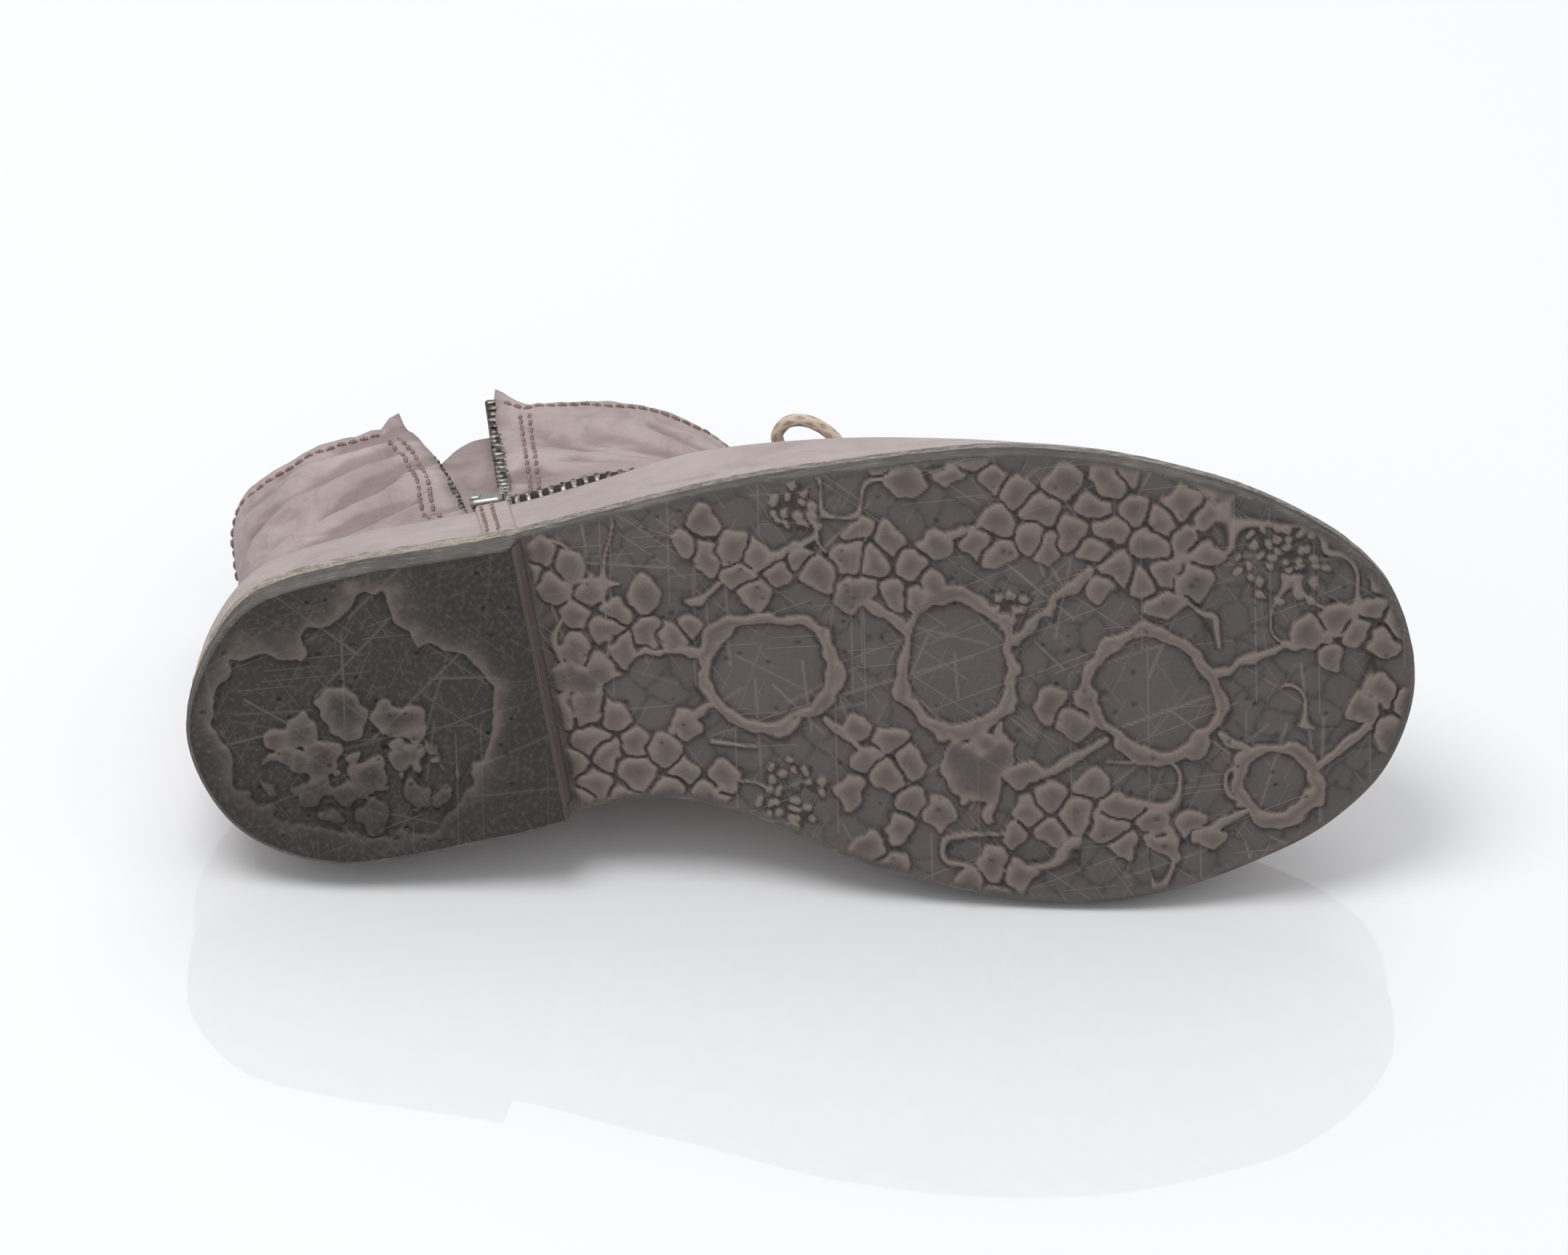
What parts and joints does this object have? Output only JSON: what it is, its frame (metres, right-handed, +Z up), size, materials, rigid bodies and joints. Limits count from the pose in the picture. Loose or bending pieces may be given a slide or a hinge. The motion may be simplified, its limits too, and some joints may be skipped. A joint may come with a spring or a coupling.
{
  "type": "ankle boot",
  "caption": "Leather ankle boot for the right foot, laced over a tongue, with side zips, a toothed trim line and a thin rubber sole with a low heel, lying on its inner side",
  "frame": {"origin": "middle of the bounding box without the bow and lace ends, on the floor that the boot lies on", "axes": "+X from heel to toe, +Y away from the tread, from the sole towards the collar, +Z up, which is the outer side of the boot"},
  "size_m": [0.268, 0.1213, 0.1016],
  "materials": {
    "tread_rubber": "worn matt rubber",
    "sole_edge": "worn stacked edge",
    "insole_board": "matt",
    "leather": "soft washed leather",
    "zip_metal": "satin",
    "trim_metal": "satin",
    "eyelet_metal": "darkened",
    "lace_cotton": "braided"
  },
  "bodies": {
    "root": {"outsole": "tread_rubber", "midsole": "sole_edge", "insole": "insole_board", "upper": "leather", "tongue": "leather", "zip_guard": "leather", "zip_row_rear": "zip_metal", "zip_row_front": "zip_metal", "zip_slider": "zip_metal", "trim_teeth": "trim_metal", "inner_zip": "zip_metal", "eyelet_outer_1": "eyelet_metal", "eyelet_inner_1": "eyelet_metal", "eyelet_outer_2": "eyelet_metal", "eyelet_inner_2": "eyelet_metal", "eyelet_outer_3": "eyelet_metal", "eyelet_inner_3": "eyelet_metal", "eyelet_outer_4": "eyelet_metal", "eyelet_inner_4": "eyelet_metal", "eyelet_outer_5": "eyelet_metal", "eyelet_inner_5": "eyelet_metal", "lace_bar": "lace_cotton", "lace_crossing_1": "lace_cotton", "lace_crossing_2": "lace_cotton", "lace_crossing_3": "lace_cotton", "lace_crossing_4": "lace_cotton", "lace_knot": "lace_cotton", "lace_loop_outer": "lace_cotton", "lace_loop_inner": "lace_cotton", "lace_end_outer": "lace_cotton", "lace_end_inner": "lace_cotton"}
  },
  "joints": []
}
